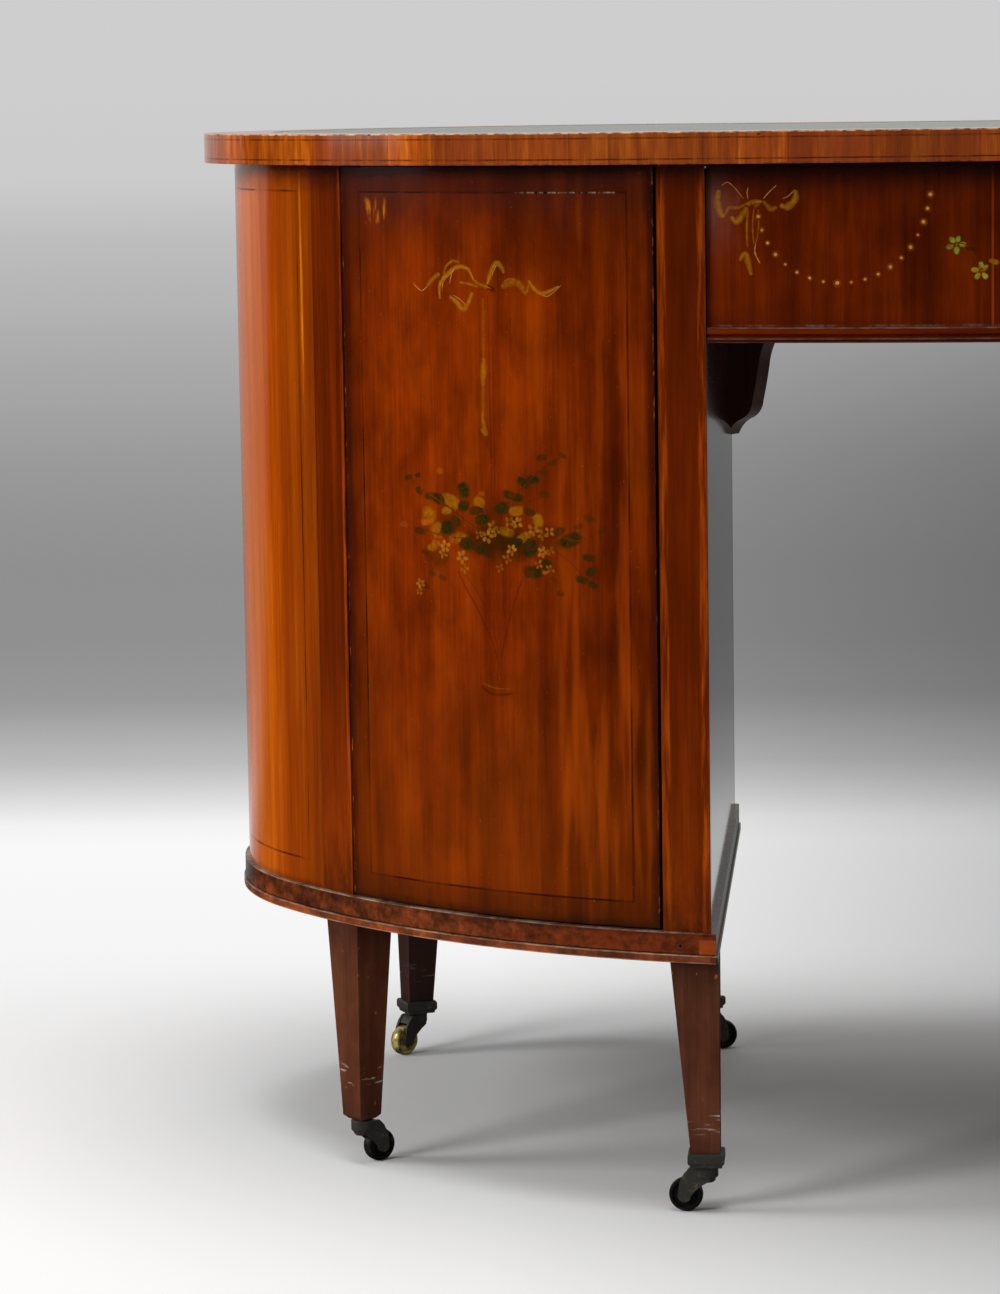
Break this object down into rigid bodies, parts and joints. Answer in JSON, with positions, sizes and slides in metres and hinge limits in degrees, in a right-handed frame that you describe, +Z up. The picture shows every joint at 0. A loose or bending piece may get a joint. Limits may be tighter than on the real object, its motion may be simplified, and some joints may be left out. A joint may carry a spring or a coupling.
{
  "type": "writing desk",
  "caption": "Kidney-shaped pedestal writing desk: bowed cupboards to the room, bowed drawers round a hollow kneehole, tapered legs on casters.",
  "frame": {"origin": "middle of the desk on the floor", "axes": "+X along the desk, +Y from the room side to the sitter's side, +Z up"},
  "size_m": [1.3314, 0.6642, 0.762],
  "materials": {
    "satinwood_light": "french polished",
    "satinwood_deep": "french polished",
    "plinth_wood": "french polished",
    "leg_wood": "french polished",
    "frieze_wood": "french polished",
    "inner_wood": "bare",
    "kneehole_wood": "french polished",
    "edge_wood": "french polished",
    "leather": "waxed",
    "caster_brass": "aged",
    "caster_bronze": "dark aged"
  },
  "bodies": {
    "desk": {"desk_top": "satinwood_light", "top_edge_banding": "edge_wood", "leather_writing_surface": "leather", "room_side_frieze": "frieze_wood", "room_side_frieze_moulding": "frieze_wood", "sitter_side_rails": "frieze_wood", "frieze_drawer_runners": "inner_wood", "kneehole_brackets": "frieze_wood", "left_plinth_moulding": "plinth_wood", "left_base_board": "inner_wood", "left_end_panel": "satinwood_light", "left_kneehole_side": "kneehole_wood", "left_stiles": "satinwood_light", "left_partition": "inner_wood", "left_shelf": "inner_wood", "left_drawer_rails": "inner_wood", "left_legs": "leg_wood", "left_caster_cups": "caster_brass", "right_plinth_moulding": "plinth_wood", "right_base_board": "inner_wood", "right_end_panel": "satinwood_light", "right_kneehole_side": "kneehole_wood", "right_stiles": "satinwood_light", "right_partition": "inner_wood", "right_shelf": "inner_wood", "right_drawer_rails": "inner_wood", "right_legs": "leg_wood", "right_caster_cups": "caster_brass"},
    "frieze_drawer": {"frieze_drawer_front": "frieze_wood", "frieze_drawer_box": "inner_wood"},
    "left_door": {"left_door": "satinwood_deep"},
    "left_upper_drawer": {"left_upper_drawer_front": "satinwood_deep", "left_upper_drawer_box": "inner_wood"},
    "left_middle_drawer": {"left_middle_drawer_front": "satinwood_deep", "left_middle_drawer_box": "inner_wood"},
    "left_lower_drawer": {"left_lower_drawer_front": "satinwood_deep", "left_lower_drawer_box": "inner_wood"},
    "left_caster_1_fork": {"left_caster_1_fork": "caster_bronze"},
    "left_caster_1_wheel": {"left_caster_1_wheel": "caster_brass"},
    "left_caster_2_fork": {"left_caster_2_fork": "caster_bronze"},
    "left_caster_2_wheel": {"left_caster_2_wheel": "caster_brass"},
    "left_caster_3_fork": {"left_caster_3_fork": "caster_bronze"},
    "left_caster_3_wheel": {"left_caster_3_wheel": "caster_brass"},
    "left_caster_4_fork": {"left_caster_4_fork": "caster_bronze"},
    "left_caster_4_wheel": {"left_caster_4_wheel": "caster_brass"},
    "right_door": {"right_door": "satinwood_deep"},
    "right_upper_drawer": {"right_upper_drawer_front": "satinwood_deep", "right_upper_drawer_box": "inner_wood"},
    "right_middle_drawer": {"right_middle_drawer_front": "satinwood_deep", "right_middle_drawer_box": "inner_wood"},
    "right_lower_drawer": {"right_lower_drawer_front": "satinwood_deep", "right_lower_drawer_box": "inner_wood"},
    "right_caster_1_fork": {"right_caster_1_fork": "caster_bronze"},
    "right_caster_1_wheel": {"right_caster_1_wheel": "caster_brass"},
    "right_caster_2_fork": {"right_caster_2_fork": "caster_bronze"},
    "right_caster_2_wheel": {"right_caster_2_wheel": "caster_brass"},
    "right_caster_3_fork": {"right_caster_3_fork": "caster_bronze"},
    "right_caster_3_wheel": {"right_caster_3_wheel": "caster_brass"},
    "right_caster_4_fork": {"right_caster_4_fork": "caster_bronze"},
    "right_caster_4_wheel": {"right_caster_4_wheel": "caster_brass"}
  },
  "joints": [
    {"name": "frieze_drawer_slide", "type": "slide", "parent": "desk", "child": "frieze_drawer", "axis": [0, 1, 0], "range_m": [0, 0.3]},
    {"name": "left_door_hinge", "type": "hinge", "parent": "desk", "child": "left_door", "pos_m": [-0.31275, -0.26644, 0.2041], "axis": [0, 0, 1], "range_deg": [0, 95]},
    {"name": "left_upper_drawer_slide", "type": "slide", "parent": "desk", "child": "left_upper_drawer", "axis": [0, 1, 0], "range_m": [0, 0.24]},
    {"name": "left_middle_drawer_slide", "type": "slide", "parent": "desk", "child": "left_middle_drawer", "axis": [0, 1, 0], "range_m": [0, 0.24]},
    {"name": "left_lower_drawer_slide", "type": "slide", "parent": "desk", "child": "left_lower_drawer", "axis": [0, 1, 0], "range_m": [0, 0.24]},
    {"name": "left_caster_1_swivel", "type": "hinge", "parent": "desk", "child": "left_caster_1_fork", "pos_m": [-0.2754, -0.26511, 0.034], "axis": [0, 0, 1], "continuous": true},
    {"name": "left_caster_1_roll", "type": "hinge", "parent": "left_caster_1_fork", "child": "left_caster_1_wheel", "pos_m": [-0.29017, -0.26251, 0.0122], "axis": [-0.1736, -0.9848, 0], "continuous": true},
    {"name": "left_caster_2_swivel", "type": "hinge", "parent": "desk", "child": "left_caster_2_fork", "pos_m": [-0.53646, -0.13142, 0.034], "axis": [0, 0, 1], "continuous": true},
    {"name": "left_caster_2_roll", "type": "hinge", "parent": "left_caster_2_fork", "child": "left_caster_2_wheel", "pos_m": [-0.52532, -0.12139, 0.0122], "axis": [-0.6691, 0.7431, 0], "continuous": true},
    {"name": "left_caster_3_swivel", "type": "hinge", "parent": "desk", "child": "left_caster_3_fork", "pos_m": [-0.53419, 0.24682, 0.034], "axis": [0, 0, 1], "continuous": true},
    {"name": "left_caster_3_roll", "type": "hinge", "parent": "left_caster_3_fork", "child": "left_caster_3_wheel", "pos_m": [-0.54403, 0.2355, 0.0122], "axis": [0.7547, -0.6561, 0], "continuous": true},
    {"name": "left_caster_4_swivel", "type": "hinge", "parent": "desk", "child": "left_caster_4_fork", "pos_m": [-0.29639, 0.25972, 0.034], "axis": [0, 0, 1], "continuous": true},
    {"name": "left_caster_4_roll", "type": "hinge", "parent": "left_caster_4_fork", "child": "left_caster_4_wheel", "pos_m": [-0.28172, 0.26284, 0.0122], "axis": [-0.2079, 0.9781, 0], "continuous": true},
    {"name": "right_door_hinge", "type": "hinge", "parent": "desk", "child": "right_door", "pos_m": [0.31275, -0.26644, 0.2041], "axis": [0, 0, -1], "range_deg": [0, 95]},
    {"name": "right_upper_drawer_slide", "type": "slide", "parent": "desk", "child": "right_upper_drawer", "axis": [0, 1, 0], "range_m": [0, 0.24]},
    {"name": "right_middle_drawer_slide", "type": "slide", "parent": "desk", "child": "right_middle_drawer", "axis": [0, 1, 0], "range_m": [0, 0.24]},
    {"name": "right_lower_drawer_slide", "type": "slide", "parent": "desk", "child": "right_lower_drawer", "axis": [0, 1, 0], "range_m": [0, 0.24]},
    {"name": "right_caster_1_swivel", "type": "hinge", "parent": "desk", "child": "right_caster_1_fork", "pos_m": [0.2754, -0.26511, 0.034], "axis": [0, 0, 1], "continuous": true},
    {"name": "right_caster_1_roll", "type": "hinge", "parent": "right_caster_1_fork", "child": "right_caster_1_wheel", "pos_m": [0.289, -0.27145, 0.0122], "axis": [0.4226, 0.9063, 0], "continuous": true},
    {"name": "right_caster_2_swivel", "type": "hinge", "parent": "desk", "child": "right_caster_2_fork", "pos_m": [0.53646, -0.13142, 0.034], "axis": [0, 0, 1], "continuous": true},
    {"name": "right_caster_2_roll", "type": "hinge", "parent": "right_caster_2_fork", "child": "right_caster_2_wheel", "pos_m": [0.52532, -0.14146, 0.0122], "axis": [0.6691, -0.7431, 0], "continuous": true},
    {"name": "right_caster_3_swivel", "type": "hinge", "parent": "desk", "child": "right_caster_3_fork", "pos_m": [0.53419, 0.24682, 0.034], "axis": [0, 0, 1], "continuous": true},
    {"name": "right_caster_3_roll", "type": "hinge", "parent": "right_caster_3_fork", "child": "right_caster_3_wheel", "pos_m": [0.5355, 0.26176, 0.0122], "axis": [-0.9962, 0.0872, 0], "continuous": true},
    {"name": "right_caster_4_swivel", "type": "hinge", "parent": "desk", "child": "right_caster_4_fork", "pos_m": [0.29639, 0.25972, 0.034], "axis": [0, 0, 1], "continuous": true},
    {"name": "right_caster_4_roll", "type": "hinge", "parent": "right_caster_4_fork", "child": "right_caster_4_wheel", "pos_m": [0.30938, 0.26722, 0.0122], "axis": [-0.5, 0.866, 0], "continuous": true}
  ]
}
